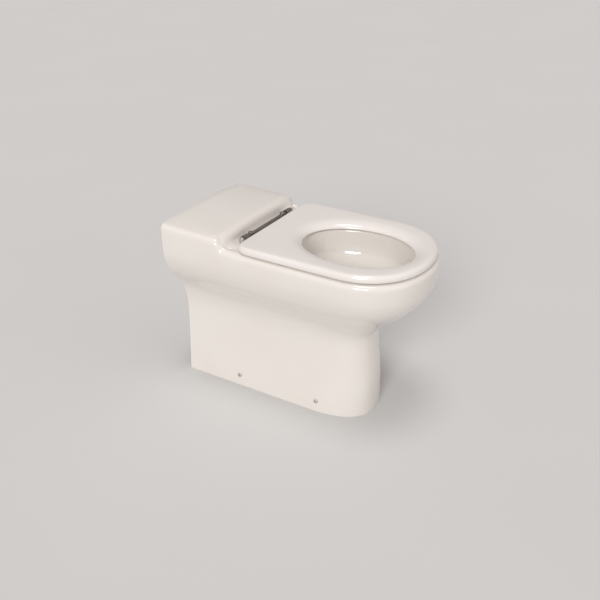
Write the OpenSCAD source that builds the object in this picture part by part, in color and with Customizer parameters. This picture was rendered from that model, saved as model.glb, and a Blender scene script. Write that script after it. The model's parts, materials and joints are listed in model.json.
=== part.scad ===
// Floor standing pan that stands back to the wall, with a ring seat on a bar hinge.
// Millimetres, +Z up, floor at z = 0, wall plane at y = +projection / 2, nose at -Y.
// Depths named "from the wall" count from the wall plane towards the nose.

/* [Overall] */
// Wall plane to the nose of the rim
projection = 690; // [670:1:740]
// Width over the rim
rim_w = 373; // [360:1:400]
// Floor to the flat top of the rim
rim_h = 457; // [400:1:480]
// Thickness of the seat ring
seat_t = 20; // [16:0.5:26]
// Gap between rim and seat that the buffers hold open
buffer_h = 3; // [1:0.1:4]

/* [Pan outside] */
// Width of the foot at the floor
foot_w = 209; // [190:1:230]
// Width of the waist under the belly
waist_w = 190; // [180:1:205]
// Height of the waist
waist_h = 214; // [190:1:240]
// Height where the belly reaches the full rim width
belly_h = 412; // [390:1:420]
// Wall plane to the nose of the foot
foot_d = 557; // [530:1:580]
// Wall plane to the nose of the waist
waist_d = 544; // [530:1:570]
// Depth of the rounded nose of the pedestal
foot_nose = 166; // [140:1:180]
// Depth of the rounded nose of the rim
rim_nose = 168; // [160:1:190]
// Radius of the outer edge of the rim
rim_edge_r = 14; // [8:0.5:18]
// Thickness of the fired clay
china_t = 10; // [9:0.5:12]

/* [Raised block] */
// Wall plane to the front face of the block
block_d = 188; // [170:1:195]
// Height of the block top at the wall, on the centre line
block_h = 499; // [480:1:520]
// Fall of the block top from wall to front edge
block_fall = 5; // [0:0.5:10]
// Crown: fall of the block top from centre line to side
block_crown = 9; // [2:0.5:14]
// Length of the fillet from the block front into the rim, at the side
cove_l = 32; // [26:1:50]

/* [Bowl] */
// Wall plane to the centre of the opening
bowl_d = 486; // [480:1:492]
// Width of the opening
bowl_w = 252; // [230:1:262]
// Length of the opening
bowl_l = 322; // [300:1:326]
// Radius of the inner edge of the rim
lip_r = 7; // [4:0.5:9]
// Height of the inner face of the rim
rim_face = 58; // [45:1:70]
// Wall plane to the deepest point of the sump
sump_d = 440; // [430:1:450]
// Height of the sump floor
sump_h = 112; // [108:1:122]

/* [Trap and outlet] */
// Height of the outlet centre
outlet_h = 182; // [175:1:195]
// Outside diameter of the outlet spigot
outlet_od = 102; // [98:0.5:110]
// Wall thickness of the outlet spigot
outlet_t = 10; // [8:0.5:12]
// Length of the outlet spigot
outlet_l = 78; // [60:1:80]
// Wall plane to the end of the outlet spigot
outlet_back = 25; // [15:1:30]
// Bore of the waterway through the trap
trap_bore = 66; // [60:1:72]
// Bend radius of the trap
trap_r = 62; // [58:1:66]
// Height of the trap centre line at the weir
weir_h = 258; // [250:1:264]

/* [Flush inlet] */
// Height of the inlet centre
inlet_h = 350; // [335:1:365]
// Bore of the inlet socket
inlet_bore = 55; // [50:0.5:60]
// Wall thickness of the inlet socket
inlet_t = 9; // [7:0.5:12]
// Wall plane to the mouth of the socket
inlet_back = 22; // [15:1:40]
// Depth of the socket
inlet_l = 60; // [50:1:70]
// Bore of the waterway from socket to bowl
flush_bore = 36; // [28:1:40]
// Bore of the rubber seal, which takes the flush pipe
flush_pipe_bore = 40; // [34:0.5:45]

/* [Seat] */
// Width of the seat ring
seat_w = 361; // [350:1:372]
// Wall plane to the nose of the seat
seat_front = 683; // [660:1:686]
// Depth of the rounded nose of the seat
seat_nose = 166; // [150:1:180]
// Radius of the rear corners of the seat
seat_corner_r = 34; // [15:1:45]
// Wall plane to the centre of the seat opening
hole_d = 483; // [475:1:490]
// Width of the seat opening
hole_w = 227; // [200:1:240]
// Length of the seat opening
hole_l = 298; // [260:1:306]
// Side edge of the seat to the middle of a rear buffer
rear_pad_in = 30; // [26:1:36]
// Centre of the seat opening back to the rear buffers
rear_pad_back = 94; // [70:1:100]
// Middle of the seat to a front buffer
front_pad_x = 62; // [56:1:72]
// Nose of the seat back to the front buffers
front_pad_in = 26; // [22:1:30]
// Diameter of the buffers
buffer_d = 16; // [14:1:18]

/* [Hinge] */
// Distance between the two hinge posts
post_gap = 155; // [140:1:165]
// Front face of the block to the hinge axis
hinge_in = 23; // [20:0.5:24]
// Hinge axis to the rear edge of the seat
seat_gap = 14.5; // [14:0.5:20]
// Height of the hinge axis over the rim
hinge_up = 10.5; // [10.2:0.1:12]
// Diameter of the hinge rod
rod_d = 12; // [10:0.5:12]
// Length of the hinge rod
rod_l = 240; // [239:1:260]
// Diameter of the hinge posts
post_d = 16; // [15.5:0.5:18]
// Height of the hinge posts over their gaskets
post_h = 17.5; // [17:0.5:21]
// Diameter of the post flange and its gasket
flange_d = 24; // [22:0.5:24]
// Centre of a seat bracket from the middle of the rod
bracket_x = 103; // [102:0.5:105]
// Length of the knuckle of a seat bracket
knuckle_l = 22; // [18:0.5:23]
// Outside diameter of the knuckle
knuckle_d = 19; // [18:0.5:20]
// Bore of the knuckle, which holds the bush
knuckle_bore = 15; // [14:0.5:15.5]
// Running clearance of the rod in its bushes, on the radius
run_gap = 0.05; // [0.02:0.01:0.09]
// Thickness of the bracket plate
plate_t = 3; // [2:0.5:4]
// Length of the bracket plate forward of the hinge axis
plate_l = 78; // [70:1:95]
// Hole through the deck for a seat fixing
deck_hole_d = 16; // [14:0.5:18]

/* [Fixings] */
// Wall plane to the rear pair of floor fixings
fix_rear_d = 176; // [150:1:200]
// Wall plane to the front pair of floor fixings
fix_front_d = 425; // [380:1:440]
// Height of the side screws
fix_h = 32; // [25:1:40]
// Diameter of the holes for the side screws
side_hole_d = 10; // [8:0.5:12]
// Diameter of the side screws
side_screw_d = 6; // [5:0.5:6.5]
// Diameter of the floor hole in each bracket
floor_hole_d = 8; // [6:0.5:9]
// Distance of the floor holes from the middle of the pan
floor_hole_x = 62; // [56:1:66]

/* [Hidden] */
$fn = 48;
china = [0.93, 0.92, 0.90];
plastic = [0.95, 0.95, 0.94];
steel = [0.62, 0.62, 0.63];
rubber = [0.20, 0.20, 0.21];
nylon = [0.82, 0.80, 0.74];
yw = projection / 2;
hinge_d = block_d + hinge_in;
seat_back = hinge_d + seat_gap;
rest_gap = 0.3;                       // seat buffers over the rim at rest
seat_z = rim_h + buffer_h;            // underside of the seat ring
axis_z = rim_h + hinge_up;
gasket_t = 1.5;

function lerp(a, b, t) = a + (b - a) * t;
function clamp(t) = min(1, max(0, t));
function smooth(t) = clamp(t) * clamp(t) * (3 - 2 * clamp(t));
// value of a drawn profile [[position, value], ...] at t
function drawn(p, t, i = 0) = t <= p[0][0] ? p[0][1]
    : i >= len(p) - 1 ? p[len(p) - 1][1]
    : t <= p[i + 1][0] ? lerp(p[i][1], p[i + 1][1], (t - p[i][0]) / (p[i + 1][0] - p[i][0]))
    : drawn(p, t, i + 1);

// ---- outside of the pan: one outline for each height ----
// share of the way from waist to full width, against share of the height
side_curve = [[0, 0], [0.1, 0.02], [0.22, 0.08], [0.34, 0.18], [0.41, 0.28], [0.48, 0.39],
              [0.56, 0.54], [0.64, 0.69], [0.76, 0.85], [0.88, 0.95], [1, 1]];
nose_curve = [[0, 0], [0.07, 0.01], [0.14, 0.035], [0.19, 0.075], [0.25, 0.135],
              [0.36, 0.3], [0.48, 0.515], [0.62, 0.72], [0.78, 0.895], [0.9, 0.975],
              [1.1, 1]];
function belly(z) = (z - waist_h) / (belly_h - waist_h);
function foot_share(z) = pow(clamp(1 - z / waist_h), 1.6);
function half_w(z) = z < waist_h ? lerp(waist_w, foot_w, foot_share(z)) / 2
    : lerp(waist_w, rim_w, drawn(side_curve, belly(z))) / 2;
function tip(z) = z < waist_h ? lerp(waist_d, foot_d, clamp(1.6 - 1.6 * z / waist_h))
    : lerp(waist_d, projection, drawn(nose_curve, belly(z)));
function nose(z) = lerp(foot_nose, rim_nose, smooth(belly(z)));
function power(z) = lerp(2.6, 2.12, smooth(belly(z)));
function mid(z) = tip(z) - nose(z);

// columns: parts of the half outline, from the middle of the back to the nose
back_n = 4;
side_at = [0, 0.25, 0.52, 0.77, 0.92, 1];
cove_at = [0, 0.3, 0.44, 0.53, 0.66, 1];
cove_z = [1, 0.9, 0.63, 0.33, 0.11, 0];
face_in = [22, 13, 5.5, 1.2, -0.5, -6];   // front of the block: depths behind its face
face_n = len(face_in) - 1;
corner_d = block_d - face_in[0];
cove_n = 5;
rim_n = 4;
nose_n = 9;
i_block = back_n + len(side_at) - 1;
i_cove = i_block + cove_n;
i_mid = i_cove + rim_n;
i_tip = i_mid + nose_n;
cols = 2 * i_tip;
rim_mid = projection - rim_nose;
// depth of column i on the straight side at rim height
function col_d(i) = i <= back_n ? 0
    : i <= i_block ? corner_d * side_at[i - back_n]
    : i <= i_cove ? corner_d + cove_l * cove_at[i - i_block]
    : lerp(corner_d + cove_l, rim_mid, (i - i_cove) / rim_n);
function nose_a(i) = 90 * (i - i_mid) / nose_n;
function pw(v, p) = v <= 1e-9 ? 0 : pow(v, p);
// point [x, depth] of column i at height z, moved inwards by t
function outline(i, z, t = 0) = i < back_n ? [(half_w(z) - t) * i / back_n, t]
    : i <= i_mid ? [half_w(z) - t, max(t, col_d(i) * mid(z) / rim_mid)]
    : [(half_w(z) - t) * pw(cos(nose_a(i)), 2 / power(z)),
       mid(z) + (nose(z) - t) * pw(sin(nose_a(i)), 2 / power(z))];

// ---- top of the pan ----
function block_top(x, d) = block_h - block_fall * d / block_d
    - block_crown * pow(2 * x / rim_w, 2);
// height of the outer edge at column i
function edge_h(i) = i < i_block
    ? block_top(i <= back_n ? (rim_w / 2) * i / back_n : rim_w / 2, col_d(i))
    : i > i_cove ? rim_h
    : lerp(rim_h, block_top(rim_w / 2, block_d), cove_z[i - i_block]);
function edge_xy(i, r) = i < back_n ? [(rim_w / 2) * i / back_n, 0]
    : i == back_n ? [rim_w / 2 - r, 0]
    : outline(i, rim_h, r);
edge_a = [0, 22, 45, 68, 90];
function edge_pt(i, k) = concat(edge_xy(i, rim_edge_r * (1 - cos(edge_a[k]))),
    [edge_h(i) - rim_edge_r * (1 - sin(edge_a[k]))]);
// where column i crosses the front of the block
function cross_x(i) = (rim_w / 2 - rim_edge_r - 8) * min(i, i_block) / i_block;
function face_z(i, k) = let(h = block_top(cross_x(i), block_d))
    [h, h - 1.6, h - 6, h - 14, rim_h + 5, rim_h][k];
function ellipse_pt(a, w, l, d) = [w * cos(a), d - l * sin(a)];
function look_a(i) = let(p = i <= i_block ? [cross_x(i), block_d] : outline(i, rim_h, 0))
    atan2(bowl_d - p[1], p[0]);
function lip(i, r) = ellipse_pt(look_a(i), bowl_w / 2 + r, bowl_l / 2 + r, bowl_d);
// at the side the foot of the front turns forward into the rim
turn = [0, 0.09, 0.2, 0.35, 0.58, 1];
falls = [0.85, 0.64, 0.4, 0.19, 0.06, 0];
function turn_pt(i) = let(t = turn[i - i_block])
    [cross_x(i_block) - 7.5 * t * t, block_d - face_in[face_n] + 17 * t];
function face_pt(i, k) = i <= i_block
    ? [cross_x(i), block_d - face_in[k], face_z(i, k)]
    : i <= i_cove ? let(e = edge_pt(i, 4), q = turn_pt(i), s = (k + 1) / (face_n + 1))
        [lerp(e[0], q[0], s), lerp(e[1], q[1], s), lerp(rim_h, e[2], falls[k])]
    : let(e = edge_pt(i, 4), q = lip(i, lip_r), s = 0.1 * (k + 1))
        [lerp(e[0], q[0], s), lerp(e[1], q[1], s), rim_h];
function top_pt(i, t) = let(e = edge_pt(i, 4), f = face_pt(i, 0),
        x = lerp(e[0], f[0], t), d = lerp(e[1], f[1], t))
    [x, d, i <= i_block ? block_top(x, d) : lerp(e[2], f[2], t)];

// ---- inside of the bowl ----
// [height share below the rim's inner face, share of the width, share of the length]
bowl_below = [[0.03, 0.95, 0.96], [0.07, 0.86, 0.885], [0.13, 0.73, 0.77], [0.21, 0.625, 0.66],
              [0.31, 0.555, 0.56], [0.43, 0.505, 0.47], [0.55, 0.47, 0.40], [0.68, 0.44, 0.33],
              [0.80, 0.39, 0.29], [0.90, 0.35, 0.26], [0.96, 0.28, 0.21], [1, 0.17, 0.14]];
face_s = rim_face / (rim_h - sump_h);
function below_s(t) = lerp(face_s, 1, t);
// rings of the bowl: [height share, width share, length share, millimetres outwards]
bowl_curve = concat(
    [[0.5 * face_s, 1, 1, -0.8], [0.86 * face_s, 1, 1, -1.8], [face_s, 1, 1, -3.6]],
    [for (r = bowl_below) [below_s(r[0]), r[1], r[2], 0]]);
function bowl_z(s) = lerp(rim_h, sump_h, s);
function bowl_c(s) = lerp(bowl_d, sump_d, smooth((s - face_s) / (0.93 - face_s)));
function bowl_pt(i, r) =
    concat(ellipse_pt(look_a(i), r[1] * bowl_w / 2 + r[3], r[2] * bowl_l / 2 + r[3], bowl_c(r[0])),
           [bowl_z(r[0])]);

// ---- hidden side: the clay is china_t thick, with a lump round the start of the trap ----
function under_z(i) = i <= i_block ? block_top(rim_w / 2, block_d) - 2 * china_t
    : rim_h - china_t - 4;
function under_pt(i, k) = let(e = outline(i, rim_h, 2.2 * china_t),
        f = [cross_x(i) * 0.94, block_d - china_t - 4],
        q = ellipse_pt(look_a(i), bowl_w / 2 + china_t, bowl_l / 2 + china_t, bowl_d),
        zb = block_top(rim_w / 2, block_d) - 1.4 * china_t, zd = rim_h - china_t)
    i <= i_block ? let(zt = i < i_block ? zb : zd)
        [[e[0], max(e[1], china_t), zt], [f[0], f[1], zt], [f[0], f[1] + 4, zd],
         [lerp(f[0], q[0], 0.5), lerp(f[1], q[1], 0.5), zd]][k]
    : let(s = [0, 0.25, 0.5, 0.75][k]) [lerp(e[0], q[0], s), lerp(e[1], q[1], s), zd];
// outside of the bowl, flush boss and trap: [height share, half width, rear depth, front depth]
function clay_w(share) = share * bowl_w / 2 + china_t;
lump = [[0.08, clay_w(1.02), -1.05, 1.01], [0.165, clay_w(1), -1.06, 1], [0.22, clay_w(0.92), -1.05, 0.93],
        [0.30, clay_w(0.72), -1.02, 0.75], [0.40, clay_w(0.60), -0.80, 0.60],
        [0.50, clay_w(0.55), -0.79, 0.53], [0.60, clay_w(0.50), -0.95, 0.43],
        [0.72, clay_w(0.46), -1.09, 0.355], [0.84, clay_w(0.40), -0.93, 0.30],
        [0.94, clay_w(0.34), -0.72, 0.248], [1.03, clay_w(0.26), -0.45, 0.16]];
function lump_pt(i, r) = let(c = bowl_c(r[0]),
        b = c + r[2] * bowl_l / 2 - china_t / 2, f = c + r[3] * bowl_l / 2 + china_t)
    concat(ellipse_pt(look_a(i), r[1], (f - b) / 2, (f + b) / 2), [bowl_z(r[0])]);

in_z = [0, 0.42 * waist_h, waist_h, lerp(waist_h, belly_h, 0.25), lerp(waist_h, belly_h, 0.5),
        lerp(waist_h, belly_h, 0.75), belly_h];
out_z = concat([for (s = [0, 0.02, 0.2, 0.42, 0.66, 0.88]) s * waist_h],
    [for (s = [0, 0.05, 0.1, 0.16, 0.22, 0.28, 0.34, 0.41, 0.48, 0.56, 0.64, 0.73, 0.82, 0.91, 1])
        lerp(waist_h, belly_h, s)]);

// rings of the whole skin, from under the bowl round to the sump floor
function skin(i) = concat(
    [for (j = [len(lump) - 1:-1:0]) lump_pt(i, lump[j])],
    [for (k = [3:-1:0]) under_pt(i, k)],
    [concat(outline(i, rim_h, china_t), [i <= i_block ? rim_h : rim_h - 2.2 * china_t])],
    [for (j = [len(in_z) - 1:-1:0]) concat(outline(i, in_z[j], china_t), [in_z[j]])],
    [for (z = out_z) concat(outline(i, z, 0), [z])],
    [for (k = [0:4]) edge_pt(i, k)],
    [for (t = [0.3, 0.6, 0.85]) top_pt(i, t)],
    [for (k = [0:face_n]) face_pt(i, k)],
    [let(f = face_pt(i, face_n), q = lip(i, lip_r))
        [lerp(f[0], q[0], 0.5), lerp(f[1], q[1], 0.5), rim_h]],
    [for (a = [90, 45, 0]) concat(lip(i, lip_r * (1 - cos(a))), [rim_h - lip_r * (1 - sin(a))])],
    [for (r = bowl_curve) bowl_pt(i, r)]);
function to_part(p) = [p[0], yw - p[1], p[2]];
function mirror_x(p) = [-p[0], p[1], p[2]];
half_skin = [for (i = [0:i_tip]) [for (p = skin(i)) to_part(p)]];
function column(c) = c <= i_tip ? half_skin[c] : [for (p = half_skin[cols - c]) mirror_x(p)];

// closed skin from columns of points: rings run round, both ends are flat caps
module skin_solid(colpts) {
    n = len(colpts);
    m = len(colpts[0]);
    polyhedron(points = [for (c = colpts) each c],
        faces = concat(
            [[for (c = [n - 1:-1:0]) c * m]],
            [[for (c = [0:n - 1]) c * m + m - 1]],
            [for (c = [0:n - 1]) for (j = [0:m - 2]) let(e = (c + 1) % n)
                each [[c * m + j, e * m + j, c * m + j + 1],
                      [e * m + j, e * m + j + 1, c * m + j + 1]]]),
        convexity = 12);
}

module pan_skin() {
    skin_solid([for (c = [0:cols - 1]) column(c)]);
}

// ---- helpers that place round forms by depth from the wall and height ----
// cylinder in the middle plane from [depth, height] a to b
module pipe(a, b, r) {
    translate([0, yw - a[0], a[1]])
        rotate([atan2(b[0] - a[0], b[1] - a[1]), 0, 0])
            cylinder(r = r, h = norm(b - a));
}

// bend in the middle plane round [depth, height] c, from angle a (0 = to the wall) over t
module bend(c, rad, a, t, r) {
    translate([0, yw - c[0], c[1]])
        rotate([90, 0, 90])
            rotate([0, 0, a])
                rotate_extrude(angle = t)
                    translate([rad, 0])
                        circle(r = r);
}

// cylinder along X, centred
module bar(x, d, z, l, r) {
    translate([x, yw - d, z])
        rotate([0, 90, 0])
            cylinder(r = r, h = l, center = true);
}

module post_at(x, d, z) {
    translate([x, yw - d, z])
        children();
}

// ---- waterways ----
k45 = 1 - cos(45);
in_h = sump_h + trap_bore / 2 + 3;      // middle of the passage where it leaves the sump
in_d = sump_d - 0.27 * bowl_l / 2;
leg_end = [in_d - trap_r * sin(45), in_h + trap_r * k45];
leg_h = weir_h - trap_r * k45 - leg_end[1];
leg_top = [leg_end[0] - leg_h, leg_end[1] + leg_h];
weir_d = leg_top[0] - trap_r * sin(45);
fall_top = [weir_d - trap_r * sin(45), leg_top[1]];
fall_h = weir_h - outlet_h - 2 * trap_r * k45;
fall_end = [fall_top[0] - fall_h, fall_top[1] - fall_h];
level_d = fall_end[0] - trap_r * sin(45);
// straight runs lap into the bends and are a little thinner than them
lap = 1;
thin = 0.4;
module trap(r, leg, ends) {
    $fn = 32;
    up = [sin(45), -sin(45)];
    down = [sin(45), sin(45)];
    pipe(leg_top + leg * up, leg_top - lap * up, r - thin);
    bend([weir_d, weir_h - trap_r], trap_r, 45, 90, r);
    pipe(fall_top + lap * down, fall_end - lap * down, r - thin);
    bend([level_d, outlet_h + trap_r], trap_r, 225, 45, r);
    pipe([level_d + lap, outlet_h], [ends, outlet_h], r - thin);
}

socket_end = inlet_back + inlet_l;
flush_end = [bowl_d - bowl_l / 2 - 3, rim_h - rim_face - 22];
back_open_w = waist_w - 2 * china_t - 6;

module pan() {
    color(china)
        difference() {
            union() {
                pan_skin();
                trap(trap_bore / 2 + china_t, 0.85 * trap_r, outlet_back + 20);
                pipe([outlet_back + outlet_l, outlet_h], [outlet_back, outlet_h], outlet_od / 2);
                pipe([socket_end + china_t, inlet_h], [inlet_back, inlet_h],
                     inlet_bore / 2 + inlet_t);
                pipe([socket_end, inlet_h], flush_end, flush_bore / 2 + 8);
            }
            trap(trap_bore / 2, leg_h / sin(45) + lap, outlet_back + outlet_l - 1);
            bend([in_d, in_h + trap_r], trap_r, 270, 45, trap_bore / 2);
            pipe([in_d - lap, in_h], [sump_d - 25, in_h], trap_bore / 2 - thin);
            pipe([outlet_back + outlet_l, outlet_h], [outlet_back - 1, outlet_h],
                 outlet_od / 2 - outlet_t);
            pipe([socket_end, inlet_h], [inlet_back - 1, inlet_h], inlet_bore / 2);
            pipe([socket_end - 1, inlet_h], flush_end, flush_bore / 2);
            pipe([flush_end[0] - 6, flush_end[1]], [flush_end[0] + 44, flush_end[1]],
                 flush_bore / 2 - 3);
            // open back
            translate([-back_open_w / 2, yw - china_t - 2, -1])
                cube([back_open_w, china_t + 3, inlet_h - 9]);
            pipe([china_t + 2, inlet_h - 10], [-1, inlet_h - 10], back_open_w / 2);
            for (x = [-1, 1]) {
                post_at(x * post_gap / 2, hinge_d, rim_h - china_t - 1)
                    cylinder(d = deck_hole_d, h = china_t + 2);
                for (d = [fix_rear_d, fix_front_d])
                    bar(x * foot_w / 2, d, fix_h, 60, side_hole_d / 2);
            }
        }
}

// rubber sleeve that seals the flush pipe in its socket
module inlet_seal() {
    color(rubber)
        difference() {
            union() {
                pipe([inlet_back + inlet_l - 8, inlet_h], [inlet_back, inlet_h], inlet_bore / 2);
                pipe([inlet_back, inlet_h], [inlet_back - 4, inlet_h], inlet_bore / 2 + 6);
            }
            pipe([inlet_back + inlet_l, inlet_h], [inlet_back - 5, inlet_h],
                 flush_pipe_bore / 2);
        }
}

// ---- seat ring ----
seat_mid = seat_front - seat_nose;
rear_n = 4;
corner_n = 4;
flank_n = 4;
tip_n = 10;
s_corner = rear_n + corner_n;
s_mid = s_corner + flank_n;
s_tip = s_mid + tip_n;
function seat_edge(i) = i <= rear_n
    ? [(seat_w / 2 - seat_corner_r) * i / rear_n, seat_back]
    : i <= s_corner ? let(a = 90 * (i - rear_n) / corner_n)
        [seat_w / 2 - seat_corner_r * (1 - sin(a)), seat_back + seat_corner_r * (1 - cos(a))]
    : i <= s_mid ? [seat_w / 2, lerp(seat_back + seat_corner_r, seat_mid,
                                     (i - s_corner) / flank_n)]
    : let(a = 90 * (i - s_mid) / tip_n)
        [seat_w / 2 * pw(cos(a), 2 / 2.1), seat_mid + seat_nose * pw(sin(a), 2 / 2.1)];
function seat_hole(i) = let(p = seat_edge(i), a = atan2(hole_d - p[1], p[0]))
    ellipse_pt(a, hole_w / 2, hole_l / 2, hole_d);
// section of the ring: [edge it is measured from, distance in, share of the thickness]
seat_section = [[0, 4, 0], [0, 1.2, 0.07], [0, 0, 0.25], [0, 0.3, 0.55], [0, 2.4, 0.8],
                [0, 6.5, 0.95], [0, 12, 1], [1, 36, 0.99], [1, 24, 0.92], [1, 14, 0.77],
                [1, 6, 0.56], [1, 1.6, 0.35], [1, 0, 0.19], [1, 1.2, 0.05], [1, 4.5, 0]];
function seat_pt(i, r) = let(p = seat_edge(i), q = seat_hole(i), u = (q - p) / norm(q - p),
        b = r[0] == 0 ? p + u * r[1] : q - u * r[1])
    [b[0], yw - b[1], seat_z + seat_t * r[2]];
function seat_col(c) = let(i = c <= s_tip ? c : 2 * s_tip - c, s = c <= s_tip ? 1 : -1)
    [for (r = seat_section) let(p = seat_pt(i, r)) [s * p[0], p[1], p[2]]];
// closed loop of closed sections
module loop_solid(colpts) {
    n = len(colpts);
    m = len(colpts[0]);
    polyhedron(points = [for (c = colpts) each c],
        faces = [for (c = [0:n - 1]) for (j = [0:m - 1])
            let(e = (c + 1) % n, k = (j + 1) % m)
                each [[c * m + j, e * m + j, c * m + k], [e * m + j, e * m + k, c * m + k]]],
        convexity = 8);
}
plate_w = knuckle_l;
screw_in = [0.5 * plate_l, 0.82 * plate_l];
screw_d = 4;
screw_l = 0.6 * seat_t;
head_d = 8;
head_h = 2;
stem_d = 6;
stem_h = 6;
pad_in = 0.1 * seat_t;                // how deep the buffers sit in the seat
rear_pads = [seat_w / 2 - rear_pad_in, hole_d - rear_pad_back];
front_pads = [front_pad_x, seat_front - front_pad_in];

module seat_ring() {
    color(plastic)
        difference() {
            loop_solid([for (c = [0:2 * s_tip - 1]) seat_col(c)]);
            for (x = [-1, 1]) {
                translate([x * bracket_x - plate_w / 2, yw - hinge_d - plate_l, seat_z - 1])
                    cube([plate_w, plate_l - 1, plate_t + 1]);
                for (s = screw_in)
                    post_at(x * bracket_x, hinge_d + s, seat_z)
                        cylinder(d = screw_d, h = screw_l + 0.5);
                for (p = [rear_pads, front_pads])
                    post_at(x * p[0], p[1], seat_z - 1) {
                        cylinder(d = buffer_d, h = pad_in + 1);
                        cylinder(d = stem_d, h = stem_h + 1);
                    }
            }
        }
}

module buffers(p) {
    color(rubber)
        for (x = [-1, 1]) {
            post_at(x * p[0], p[1], rim_h + rest_gap)
                cylinder(d = buffer_d, h = buffer_h - rest_gap + pad_in);
            post_at(x * p[0], p[1], seat_z)
                cylinder(d = stem_d, h = stem_h - 0.5);
        }
}

module buffers_rear() {
    buffers(rear_pads);
}

module buffers_front() {
    buffers(front_pads);
}

// ---- seat brackets, bushes and rod ----
module screw_head() {
    cylinder(d1 = head_d, d2 = screw_d - 0.1, h = head_h);
}

module seat_bracket(x) {
    color(steel)
        difference() {
            union() {
                bar(x, hinge_d, axis_z, knuckle_l, knuckle_d / 2);
                translate([x - plate_w / 2, yw - hinge_d - plate_l, seat_z])
                    cube([plate_w, plate_l - 6, plate_t]);
            }
            bar(x, hinge_d, axis_z, knuckle_l + 2, knuckle_bore / 2);
            for (s = screw_in)
                post_at(x, hinge_d + s, seat_z) {
                    translate([0, 0, -1])
                        cylinder(d = screw_d, h = plate_t + 2);
                    screw_head();
                }
        }
}

module seat_bracket_left() {
    seat_bracket(-bracket_x);
}

module seat_bracket_right() {
    seat_bracket(bracket_x);
}

module bracket_screws() {
    color(steel)
        for (x = [-1, 1])
            for (s = screw_in) {
                post_at(x * bracket_x, hinge_d + s, seat_z) {
                    screw_head();
                    translate([0, 0, 0.5])
                        cylinder(d = screw_d, h = screw_l - 0.5);
                }
            }
}

module hinge_bush(x) {
    color(nylon)
        difference() {
            union() {
                bar(x, hinge_d, axis_z, knuckle_l, knuckle_bore / 2);
                for (s = [-1, 1])
                    bar(x + s * (knuckle_l / 2 + 0.6), hinge_d, axis_z, 1.2,
                        knuckle_d / 2 - 0.5);
            }
            bar(x, hinge_d, axis_z, knuckle_l + 6, rod_d / 2 + run_gap);
        }
}

module hinge_bush_left() {
    hinge_bush(-bracket_x);
}

module hinge_bush_right() {
    hinge_bush(bracket_x);
}

cap_d = rod_d + 4;
cap_in = 4;
cap_end = 4;
module hinge_rod() {
    color(steel)
        bar(0, hinge_d, axis_z, rod_l, rod_d / 2);
}

module rod_cap(s) {
    color(steel)
        difference() {
            union() {
                bar(s * (rod_l - cap_in) / 2, hinge_d, axis_z, cap_in, cap_d / 2);
                translate([s * rod_l / 2, yw - hinge_d, axis_z])
                    rotate([0, s * 90, 0])
                        cylinder(r1 = cap_d / 2, r2 = cap_d / 2 - 1.5, h = cap_end);
            }
            bar(s * (rod_l - 10) / 2, hinge_d, axis_z, 10, rod_d / 2);
        }
}

module rod_cap_left() {
    rod_cap(-1);
}

module rod_cap_right() {
    rod_cap(1);
}

// ---- hinge posts and their fixings through the deck ----
post_z = rim_h + gasket_t;
spigot_d = 12;
spigot_l = gasket_t + china_t - 1;
stud_d = 6;
grub_d = 5;
nut_h = 5;
plug_h = 20;
module hinge_post(x) {
    color(steel)
        difference() {
            post_at(x, hinge_d, post_z)
                rotate_extrude()
                    polygon([[0, -spigot_l], [spigot_d / 2, -spigot_l], [spigot_d / 2, 0],
                             [flange_d / 2, 0], [flange_d / 2, 1.5], [flange_d / 2 - 1, 2.5],
                             [post_d / 2, 2.5], [post_d / 2, post_h - 1.5],
                             [post_d / 2 - 1.5, post_h], [0, post_h]]);
            bar(x, hinge_d, axis_z, post_d + 4, rod_d / 2);
            post_at(x, hinge_d, post_z - spigot_l - 1)
                cylinder(d = stud_d, h = spigot_l + 1.5);
            post_at(x, hinge_d, axis_z)
                cylinder(d = grub_d, h = post_h);
        }
}

module hinge_post_left() {
    hinge_post(-post_gap / 2);
}

module hinge_post_right() {
    hinge_post(post_gap / 2);
}

module post_gasket(x) {
    color(rubber)
        post_at(x, hinge_d, rim_h)
            difference() {
                cylinder(d = flange_d, h = gasket_t);
                translate([0, 0, -1])
                    cylinder(d = spigot_d, h = gasket_t + 2);
            }
}

module post_gasket_left() {
    post_gasket(-post_gap / 2);
}

module post_gasket_right() {
    post_gasket(post_gap / 2);
}

module grub_screws() {
    color(steel)
        for (x = [-1, 1])
            post_at(x * post_gap / 2, hinge_d, axis_z + rod_d / 2)
                difference() {
                    cylinder(d = grub_d, h = post_z + post_h - axis_z - rod_d / 2 - 0.3);
                    translate([0, 0, 0.9])
                        cylinder(d = 2.9, h = 9, $fn = 6);
                }
}

module seat_plug(x) {
    color(rubber)
        post_at(x, hinge_d, rim_h)
            difference() {
                union() {
                    translate([0, 0, -china_t])
                        cylinder(d = deck_hole_d, h = china_t);
                    translate([0, 0, -china_t - plug_h])
                        cylinder(d1 = deck_hole_d + 2, d2 = deck_hole_d + 7, h = plug_h);
                }
                translate([0, 0, gasket_t - spigot_l])
                    cylinder(d = spigot_d, h = spigot_l + 1);
                translate([0, 0, -china_t - plug_h - 1])
                    cylinder(d = stud_d, h = china_t + plug_h);
            }
}

module seat_plug_left() {
    seat_plug(-post_gap / 2);
}

module seat_plug_right() {
    seat_plug(post_gap / 2);
}

module seat_studs() {
    color(steel)
        for (x = [-1, 1])
            post_at(x * post_gap / 2, hinge_d, rim_h - china_t - plug_h - nut_h - 4)
                cylinder(d = stud_d, h = china_t + plug_h + nut_h + 4 + gasket_t + 0.5);
}

module seat_nuts() {
    color(steel)
        for (x = [-1, 1])
            post_at(x * post_gap / 2, hinge_d, rim_h - china_t - plug_h - nut_h)
                difference() {
                    cylinder(d = 11.5, h = nut_h, $fn = 6);
                    translate([0, 0, -1])
                        cylinder(d = stud_d, h = nut_h + 2);
                }
}

// ---- floor fixings ----
bracket_h = 52;
bracket_w = 34;
web_t = 7;
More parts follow.
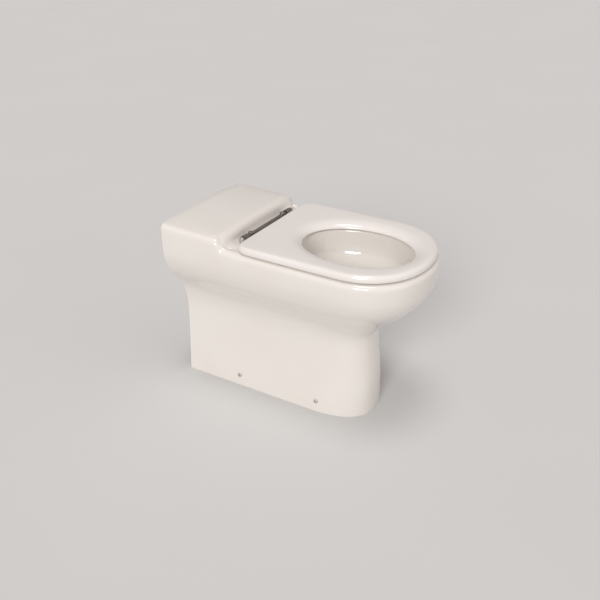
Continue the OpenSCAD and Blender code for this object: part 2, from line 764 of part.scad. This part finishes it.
// half width of the pan at depth d and height z, moved inwards by t
function wall_x(d, z, t) = d <= mid(z) ? half_w(z) - t
    : (half_w(z) - t) * pw(1 - pw((d - mid(z)) / (nose(z) - t), power(z)), 1 / power(z));
function web_x(d) = wall_x(d + bracket_w / 2, bracket_h, china_t) - 1.2;
function skin_x(d) = wall_x(d - 7, fix_h - 7, 0) + 0.05;
module floor_bracket(s, d) {
    x = web_x(d);
    color(nylon)
        translate([0, yw - d, 0])
            difference() {
                union() {
                    translate([s > 0 ? x - web_t : -x, -bracket_w / 2, 0])
                        cube([web_t, bracket_w, bracket_h]);
                    translate([s > 0 ? floor_hole_x - 14 : -x, -bracket_w / 2, 0])
                        cube([x - floor_hole_x + 14, bracket_w, 6]);
                    for (e = [-bracket_w / 2, bracket_w / 2 - 4])
                        translate([0, e + 4, 0])
                            rotate([90, 0, 0])
                                linear_extrude(4)
                                    polygon([[s * (floor_hole_x - 6), 6],
                                             [s * (x - web_t), bracket_h - 8],
                                             [s * (x - web_t), 6]]);
                }
                translate([s * floor_hole_x, 0, -1])
                    cylinder(d = floor_hole_d, h = 8);
                translate([s * (x - web_t / 2), 0, fix_h])
                    rotate([0, 90, 0])
                        cylinder(d = side_screw_d, h = web_t + 2, center = true);
            }
}

module floor_bracket_left_rear() {
    floor_bracket(-1, fix_rear_d);
}

module floor_bracket_left_front() {
    floor_bracket(-1, fix_front_d);
}

module floor_bracket_right_rear() {
    floor_bracket(1, fix_rear_d);
}

module floor_bracket_right_front() {
    floor_bracket(1, fix_front_d);
}

nut_t = 5;
module bracket_nuts() {
    color(steel)
        for (s = [-1, 1])
            for (d = [fix_rear_d, fix_front_d])
                translate([s * (web_x(d) - web_t - nut_t / 2), yw - d, fix_h])
                    rotate([0, 90, 0])
                        difference() {
                            cylinder(d = 11.5, h = nut_t, $fn = 6, center = true);
                            cylinder(d = side_screw_d, h = nut_t + 2, center = true);
                        }
}

// sleeve in each side hole, with a thin flange outside
flange_t = 1.2;
module side_sleeves() {
    color(nylon)
        for (s = [-1, 1])
            for (d = [fix_rear_d, fix_front_d])
                translate([s * skin_x(d), yw - d, fix_h])
                    rotate([0, s * 90, 0])
                        difference() {
                            union() {
                                cylinder(d1 = side_hole_d + 3.6, d2 = side_hole_d + 2.4,
                                         h = flange_t);
                                translate([0, 0, -china_t + 1])
                                    cylinder(d = side_hole_d - 0.2, h = china_t);
                            }
                            translate([0, 0, -china_t])
                                cylinder(d = side_screw_d, h = china_t + 3);
                        }
}

module side_screws() {
    color(steel)
        for (s = [-1, 1])
            for (d = [fix_rear_d, fix_front_d])
                translate([s * (skin_x(d) + flange_t), yw - d, fix_h])
                    rotate([0, s * 90, 0])
                        difference() {
                            union() {
                                cylinder(d1 = 9.5, d2 = 7.5, h = 2.2);
                                translate([0, 0, web_x(d) - web_t - nut_t - 3 - skin_x(d)
                                           - flange_t])
                                    cylinder(d = side_screw_d, h = 3 + nut_t + web_t
                                             + skin_x(d) + flange_t - web_x(d) + 0.5);
                            }
                            translate([0, 0, 0.9])
                                cylinder(d = 3.6, h = 3, $fn = 6);
                        }
}

pan();
inlet_seal();
seat_ring();
seat_bracket_left();
seat_bracket_right();
bracket_screws();
hinge_bush_left();
hinge_bush_right();
buffers_rear();
buffers_front();
hinge_rod();
rod_cap_left();
rod_cap_right();
hinge_post_left();
hinge_post_right();
post_gasket_left();
post_gasket_right();
grub_screws();
seat_plug_left();
seat_plug_right();
seat_studs();
seat_nuts();
floor_bracket_left_rear();
floor_bracket_left_front();
floor_bracket_right_rear();
floor_bracket_right_front();
bracket_nuts();
side_sleeves();
side_screws();
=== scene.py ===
import json
import math

import bpy
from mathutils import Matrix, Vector
from mathutils.bvhtree import BVHTree

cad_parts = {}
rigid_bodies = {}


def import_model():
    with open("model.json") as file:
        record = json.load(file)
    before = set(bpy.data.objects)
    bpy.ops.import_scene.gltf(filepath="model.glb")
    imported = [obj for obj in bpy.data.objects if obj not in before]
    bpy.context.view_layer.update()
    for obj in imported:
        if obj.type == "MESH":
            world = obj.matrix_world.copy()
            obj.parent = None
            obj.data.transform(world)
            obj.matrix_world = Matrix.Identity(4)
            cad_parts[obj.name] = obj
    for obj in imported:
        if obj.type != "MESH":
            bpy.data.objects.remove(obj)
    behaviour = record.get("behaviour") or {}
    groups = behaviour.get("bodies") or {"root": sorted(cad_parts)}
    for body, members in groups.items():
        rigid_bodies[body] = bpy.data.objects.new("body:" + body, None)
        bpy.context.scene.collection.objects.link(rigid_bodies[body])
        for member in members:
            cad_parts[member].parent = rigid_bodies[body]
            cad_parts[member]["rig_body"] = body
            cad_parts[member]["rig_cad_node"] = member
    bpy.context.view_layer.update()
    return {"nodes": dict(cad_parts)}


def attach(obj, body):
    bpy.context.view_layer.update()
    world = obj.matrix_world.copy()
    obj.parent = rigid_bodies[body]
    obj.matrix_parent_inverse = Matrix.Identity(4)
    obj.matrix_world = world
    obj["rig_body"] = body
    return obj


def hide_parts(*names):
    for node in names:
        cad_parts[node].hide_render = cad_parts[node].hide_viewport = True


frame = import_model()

scene = bpy.context.scene

# All lengths are in metres, in the part's own frame: x across the pan, y back to the wall, z up.


# ---------------------------------------------------------------- camera
LENS, SENSOR = 47.66, 36                  # mm
EYE = (-1.6475, -0.9398, 1.3057)
EYE_TURN = (61.483, -0.219, -59.369)      # degrees about x, y and z


def product_camera():
    data = bpy.data.cameras.new("product_camera")
    data.lens = LENS
    data.sensor_width = SENSOR
    camera = bpy.data.objects.new("product_camera", data)
    camera.location = EYE
    camera.rotation_euler = [math.radians(a) for a in EYE_TURN]
    scene.collection.objects.link(camera)
    scene.camera = camera


# ---------------------------------------------------------------- finishes
MID_LOW, MID_HIGH = 0.3, 0.7              # the part of a noise's range that most of it lies in


class Finish:
    """A node material for one finish, read on Object coordinates."""

    def __init__(self, name, colour, roughness, **constants):
        self.material = bpy.data.materials.new(name)
        self.material.use_nodes = True
        self.nodes = self.material.node_tree.nodes
        self.links = self.material.node_tree.links
        self.shader = self.nodes["Principled BSDF"]
        self.place = self.nodes.new("ShaderNodeTexCoord").outputs["Object"]
        self.set(self.shader, **{"Base Color": (*colour, 1), "Roughness": roughness}, **constants)

    def set(self, node, **values):
        for name, value in values.items():
            node.inputs[name].default_value = value

    def noise(self, scale, detail, stretch=None):
        """Noise over the piece, drawn out along an axis where its share in stretch is small."""
        place = self.place
        if stretch:
            mapping = self.nodes.new("ShaderNodeMapping")
            mapping.inputs["Scale"].default_value = stretch
            self.links.new(self.place, mapping.inputs["Vector"])
            place = mapping.outputs["Vector"]
        node = self.nodes.new("ShaderNodeTexNoise")
        self.set(node, Scale=scale, Detail=detail)
        self.links.new(place, node.inputs["Vector"])
        return node.outputs["Fac"]

    def span(self, noise, low, high, start, end):
        """Takes a noise from low to high over to start to end."""
        node = self.nodes.new("ShaderNodeMapRange")
        self.set(node, **{"From Min": low, "From Max": high, "To Min": start, "To Max": end})
        self.links.new(noise, node.inputs["Value"])
        return node.outputs["Result"]

    def tint(self, noise, deep, pale, low=MID_LOW, high=MID_HIGH):
        """Lets the colour drift between two tones."""
        node = self.nodes.new("ShaderNodeMix")
        node.data_type = "RGBA"
        self.set(node, A=(*deep, 1), B=(*pale, 1))
        self.links.new(self.span(noise, low, high, 0, 1), node.inputs["Factor"])
        self.links.new(node.outputs["Result"], self.shader.inputs["Base Color"])

    def wear(self, noise, polished, dull):
        """Lets the roughness drift between two values."""
        self.links.new(self.span(noise, MID_LOW, MID_HIGH, polished, dull), self.shader.inputs["Roughness"])

    def bump(self, noise, height, strength, under=None):
        """Raises the surface by the noise, on top of another bump where one is given."""
        node = self.nodes.new("ShaderNodeBump")
        self.set(node, Strength=strength, Distance=height)
        self.links.new(noise, node.inputs["Height"])
        if under is not None:
            self.links.new(under, node.inputs["Normal"])
        self.links.new(node.outputs["Normal"], self.shader.inputs["Normal"])
        return node.outputs["Normal"]


def fired_glaze():
    f = Finish("fired_glaze", (0.79, 0.75, 0.70), 0.08)
    f.set(f.shader, **{"IOR": 1.52, "Specular IOR Level": 0.55, "Coat Weight": 0.35, "Coat Roughness": 0.03})
    f.tint(f.noise(6.0, 2.0), (0.785, 0.742, 0.688), (0.80, 0.762, 0.712))
    f.wear(f.noise(22.0, 2.0), 0.06, 0.12)
    slow_waves = f.bump(f.noise(38.0, 1.0), 0.0006, 0.2)
    f.bump(f.noise(900.0, 2.0), 0.00004, 0.2, under=slow_waves)
    return f.material


def raw_clay():
    f = Finish("raw_clay", (0.70, 0.66, 0.59), 0.75)
    f.tint(f.noise(14.0, 4.0), (0.70, 0.655, 0.58), (0.76, 0.73, 0.67))
    f.wear(f.noise(60.0, 3.0), 0.62, 0.85)
    f.bump(f.noise(700.0, 5.0), 0.0004, 0.5)
    return f.material


def seat_gloss():
    f = Finish("seat_gloss", (0.81, 0.765, 0.725), 0.14)
    f.set(f.shader, **{"Coat Weight": 0.25, "Coat Roughness": 0.06})
    f.tint(f.noise(9.0, 2.0), (0.805, 0.758, 0.715), (0.82, 0.778, 0.738))
    f.wear(f.noise(30.0, 3.0), 0.11, 0.19)
    f.bump(f.noise(600.0, 2.0), 0.00005, 0.4)
    return f.material


def metal_with_painted_gap_shade():
    # Painted shade: this dark colour stands in for the shadow in the gap between the seat and the block, and
    # for the dark reflection that bright metal shows there.
    f = Finish("metal_with_painted_gap_shade", (0.30, 0.265, 0.24), 0.36, Metallic=1.0)
    f.tint(f.noise(55.0, 4.0), (0.27, 0.235, 0.21), (0.36, 0.32, 0.29), low=0.35, high=0.75)
    f.wear(f.noise(120.0, 4.0), 0.24, 0.42)
    f.bump(f.noise(1500.0, 3.0), 0.00003, 0.4)
    return f.material


def plated_steel():
    f = Finish("plated_steel", (0.55, 0.55, 0.56), 0.3, Metallic=1.0)
    f.tint(f.noise(70.0, 4.0), (0.50, 0.50, 0.51), (0.62, 0.61, 0.60), high=0.75)
    f.wear(f.noise(160.0, 4.0, stretch=(0.15, 1, 1)), 0.22, 0.42)
    f.bump(f.noise(1800.0, 3.0, stretch=(0.1, 1, 1)), 0.00003, 0.5)
    return f.material


def black_rubber():
    f = Finish("black_rubber", (0.035, 0.035, 0.037), 0.62)
    f.tint(f.noise(80.0, 4.0), (0.028, 0.028, 0.030), (0.06, 0.06, 0.062), high=0.75)
    f.wear(f.noise(200.0, 3.0), 0.52, 0.75)
    f.bump(f.noise(1600.0, 4.0), 0.00006, 0.5)
    return f.material


def pale_rubber():
    f = Finish("pale_rubber", (0.62, 0.62, 0.60), 0.5)
    f.tint(f.noise(60.0, 3.0), (0.58, 0.58, 0.56), (0.66, 0.66, 0.64), high=0.75)
    f.wear(f.noise(180.0, 3.0), 0.42, 0.6)
    f.bump(f.noise(1400.0, 3.0), 0.00005, 0.5)
    return f.material


def moulded_nylon():
    f = Finish("moulded_nylon", (0.66, 0.64, 0.58), 0.42)
    f.set(f.shader, **{"Subsurface Weight": 0.05})
    f.tint(f.noise(40.0, 3.0), (0.64, 0.62, 0.56), (0.70, 0.68, 0.63), high=0.75)
    f.wear(f.noise(150.0, 3.0), 0.34, 0.52)
    f.bump(f.noise(1200.0, 3.0), 0.00005, 0.5)
    return f.material


def floor_paint():
    f = Finish("studio_floor", (0.66, 0.655, 0.645), 0.9)
    f.set(f.shader, **{"Specular IOR Level": 0.0})
    f.tint(f.noise(1.5, 2.0), (0.655, 0.65, 0.64), (0.665, 0.66, 0.65))
    return f.material


# ---------------------------------------------------------------- work on copies of the CAD nodes
SAME_POINT = 0.00002                      # corners of facets closer than this are one point
FLAT_FOLD = math.radians(0.5)             # facets that fold less than this are one flat face
QUAD_FOLD = math.radians(35)              # two facets that fold less than this may make a quad
QUAD_SKEW = math.radians(60)
GRID_PREFERENCE = 2.0                     # pairs of facets follow the rings of the skin
KEPT_EDGE = math.radians(60)              # an edge as sharp as this stays an edge in a smooth skin
KEPT_CREASE = 0.9
ROUNDED_EDGE = math.radians(35)           # an edge as sharp as this gets a small round
SKIN_SHADING = math.radians(40)           # a smooth skin is shaded as one up to this fold
PART_SHADING = math.radians(30)           # and a machined or moulded part up to this one


def only(piece):
    bpy.ops.object.select_all(action="DESELECT")
    piece.hide_set(False)
    piece.select_set(True)
    bpy.context.view_layer.objects.active = piece


def clothe(piece, *materials):
    piece.data.materials.clear()
    for material in materials:
        piece.data.materials.append(material)


def merged_copy(node, name):
    """A copy of a CAD node in one connected mesh, with none of the node's keys or normals."""
    only(frame["nodes"][node])
    bpy.ops.object.duplicate()
    piece = bpy.context.active_object
    bpy.ops.object.parent_clear(type="CLEAR")
    piece.name = piece.data.name = name
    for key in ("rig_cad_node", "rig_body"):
        del piece[key]
    bpy.ops.mesh.customdata_custom_splitnormals_clear()
    bpy.ops.object.mode_set(mode="EDIT")
    bpy.ops.mesh.select_all(action="SELECT")
    bpy.ops.mesh.remove_doubles(threshold=SAME_POINT)
    bpy.ops.object.mode_set(mode="OBJECT")
    return piece


def cage_from(node, name):
    """A merged copy with its facets joined to quads, as the cage of a smooth skin."""
    cage = merged_copy(node, name)
    bpy.ops.object.mode_set(mode="EDIT")
    bpy.ops.mesh.select_all(action="SELECT")
    bpy.ops.mesh.tris_convert_to_quads(face_threshold=QUAD_FOLD, shape_threshold=QUAD_SKEW,
                                       topology_influence=GRID_PREFERENCE)
    bpy.ops.mesh.select_all(action="DESELECT")
    bpy.ops.mesh.select_mode(type="EDGE")
    bpy.ops.mesh.edges_select_sharp(sharpness=KEPT_EDGE)
    bpy.ops.transform.edge_crease(value=KEPT_CREASE)
    bpy.ops.object.mode_set(mode="OBJECT")
    return cage


def smooth(cage, levels):
    """Rounds a cage off to its smooth skin."""
    only(cage)
    skin = cage.modifiers.new("skin", "SUBSURF")
    skin.levels = skin.render_levels = levels
    bpy.ops.object.modifier_apply(modifier=skin.name)
    bpy.ops.object.shade_smooth_by_angle(angle=SKIN_SHADING)


def eased(width, material, *nodes):
    """Machined and moulded parts whose sharp edges get a small round of this width."""
    for node in nodes:
        piece = merged_copy(node, node + "_eased")
        bpy.ops.object.mode_set(mode="EDIT")
        bpy.ops.mesh.select_all(action="SELECT")
        bpy.ops.mesh.dissolve_limited(angle_limit=FLAT_FOLD)
        bpy.ops.object.mode_set(mode="OBJECT")
        edge = piece.modifiers.new("edge", "BEVEL")
        edge.width = width
        edge.segments = 2
        edge.limit_method = "ANGLE"
        edge.angle_limit = ROUNDED_EDGE
        bpy.ops.object.modifier_apply(modifier=edge.name)
        bpy.ops.object.shade_smooth_by_angle(angle=PART_SHADING)
        clothe(piece, material)
        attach(piece, frame["nodes"][node]["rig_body"])
        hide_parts(node)


def dressed(material, *nodes):
    """CAD nodes that stay as they are and only get their finish."""
    for node in nodes:
        clothe(frame["nodes"][node], material)


# ---------------------------------------------------------------- the china pan
GLAZED, RAW = 0, 1                        # the pan's material slots
RAY_START = 0.0008                        # how far above a face its rays start
LEAST_LEVEL = 0.01                        # a face with less than this looks straight up or down

# Where a front corner of the block meets the rim: boxes on the +x side that also stand for the -x side,
# each from its low to its high corner, with how often the clay in it is smoothed.
CORNER_SWEEP = ((0.138, 0.112, 0.447), (0.181, 0.172, 0.487), 10)
CORNER_FEATHER = ((0.110, 0.112, 0.440), (0.190, 0.185, 0.497), 2)


def sees_out(tree, face):
    """Tells whether a ray straight ahead, level or straight up from the face leaves the pan."""
    start = face.center + face.normal * RAY_START
    ways = [face.normal, Vector((0, 0, 1))]
    level = Vector((face.normal.x, min(face.normal.y, 0), 0))
    if level.length > LEAST_LEVEL:
        ways.append(level)
    return any(tree.ray_cast(start, way)[0] is None for way in ways)


def mark_glaze(pan):
    """Leaves the hidden faces of the clay raw, which see neither the sky nor the room."""
    tree = BVHTree.FromPolygons([v.co for v in pan.data.vertices],
                                [p.vertices[:] for p in pan.data.polygons])
    for face in pan.data.polygons:
        face.material_index = GLAZED if sees_out(tree, face) else RAW


def pick_glazed(pan, low, high):
    """Selects, in edit mode, the glazed faces whose middles lie in a box or in its mirror image."""
    only(pan)
    bpy.ops.object.mode_set(mode="EDIT")
    bpy.ops.mesh.select_mode(type="FACE")
    bpy.ops.mesh.select_all(action="DESELECT")
    bpy.ops.object.mode_set(mode="OBJECT")
    for face in pan.data.polygons:
        x, y, z = face.center
        inside = low[0] < abs(x) < high[0] and low[1] < y < high[1] and low[2] < z < high[2]
        face.select = inside and face.material_index == GLAZED
    bpy.ops.object.mode_set(mode="EDIT")


def soften(pan, low, high, passes):
    """Blends a patch of the glazed skin into what lies round it."""
    pick_glazed(pan, low, high)
    bpy.ops.mesh.vertices_smooth(factor=0.5, repeat=passes)
    bpy.ops.object.mode_set(mode="OBJECT")


def china_pan():
    pan = cage_from("pan", "china_pan")
    clothe(pan, fired_glaze(), raw_clay())
    mark_glaze(pan)
    smooth(pan, 1)
    soften(pan, *CORNER_SWEEP)
    soften(pan, *CORNER_FEATHER)
    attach(pan, "pan")
    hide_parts("pan")


# ---------------------------------------------------------------- the seat
def seat_shell():
    seat = cage_from("seat_ring", "seat_shell")
    clothe(seat, seat_gloss())
    smooth(seat, 2)
    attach(seat, "seat")
    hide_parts("seat_ring")


# ---------------------------------------------------------------- hinge, seals and fixings
METAL_ROUND = 0.0003
SCREW_ROUND = 0.00025
RUBBER_ROUND = 0.0004
THIN_WALL_ROUND = 0.0002                  # sleeves and bushes
THICK_WALL_ROUND = 0.0008                 # the inlet seal and the floor brackets


def hinge_and_fixings():
    hinge_metal_painted_shade, steel = metal_with_painted_gap_shade(), plated_steel()
    black, pale, nylon = black_rubber(), pale_rubber(), moulded_nylon()

    # The hinge rod, posts and seat brackets get the metal with painted shade, darkened to look like the
    # shaded gap they sit in.
    dressed(hinge_metal_painted_shade, "hinge_rod")
    eased(METAL_ROUND, hinge_metal_painted_shade, "hinge_post_left", "hinge_post_right",
          "seat_bracket_left", "seat_bracket_right")
    eased(METAL_ROUND, steel, "rod_cap_left", "rod_cap_right")
    dressed(steel, "bracket_screws", "seat_studs")
    eased(SCREW_ROUND, steel, "grub_screws", "seat_nuts", "bracket_nuts", "side_screws")
    dressed(black, "seat_plug_left", "seat_plug_right")
    eased(RUBBER_ROUND, black, "post_gasket_left", "post_gasket_right")
    eased(THICK_WALL_ROUND, black, "inlet_seal")
    eased(RUBBER_ROUND, pale, "buffers_rear", "buffers_front")
    eased(THIN_WALL_ROUND, nylon, "side_sleeves")
    eased(THIN_WALL_ROUND, black, "hinge_bush_left", "hinge_bush_right")
    eased(THICK_WALL_ROUND, nylon, "floor_bracket_left_rear", "floor_bracket_left_front",
          "floor_bracket_right_rear", "floor_bracket_right_front")


# ---------------------------------------------------------------- studio
FLOOR_SIZE = 80
SKY_COLOUR = (1.0, 0.94, 0.93)
SKY_STRENGTH = 0.46

# A wide soft source from the left of the camera, low enough to light the sides more than the tops, a weak
# one from the front, and one overhead for the shine along the rounded edges. Each has its strength, the
# angle that it fills in degrees, and the way that its light goes.
SOFTBOXES = {
    "side_softbox": (1.68, 24, (1.0, 0.25, -0.55)),
    "front_softbox": (0.2, 40, (0.1, 1.0, -0.3)),
    "overhead_softbox": (0.7, 22, (0.1, 0.0, -1.0)),
}


def studio_floor():
    bpy.ops.object.select_all(action="DESELECT")
    bpy.ops.mesh.primitive_plane_add(size=FLOOR_SIZE, location=(0, 0, 0))
    floor = bpy.context.active_object
    floor.name = "studio_floor"
    clothe(floor, floor_paint())


def studio_light():
    world = bpy.data.worlds.new("studio_world")
    scene.world = world
    world.use_nodes = True
    sky = world.node_tree.nodes["Background"]
    sky.inputs["Color"].default_value = (*SKY_COLOUR, 1)
    sky.inputs["Strength"].default_value = SKY_STRENGTH
    for name, (strength, angle, toward) in SOFTBOXES.items():
        data = bpy.data.lights.new(name, "SUN")
        data.energy = strength
        data.angle = math.radians(angle)
        lamp = bpy.data.objects.new(name, data)
        lamp.rotation_euler = Vector(toward).to_track_quat("-Z", "Y").to_euler()
        scene.collection.objects.link(lamp)


product_camera()
china_pan()
seat_shell()
hinge_and_fixings()
studio_floor()
studio_light()
scene.view_settings.view_transform = "Standard"
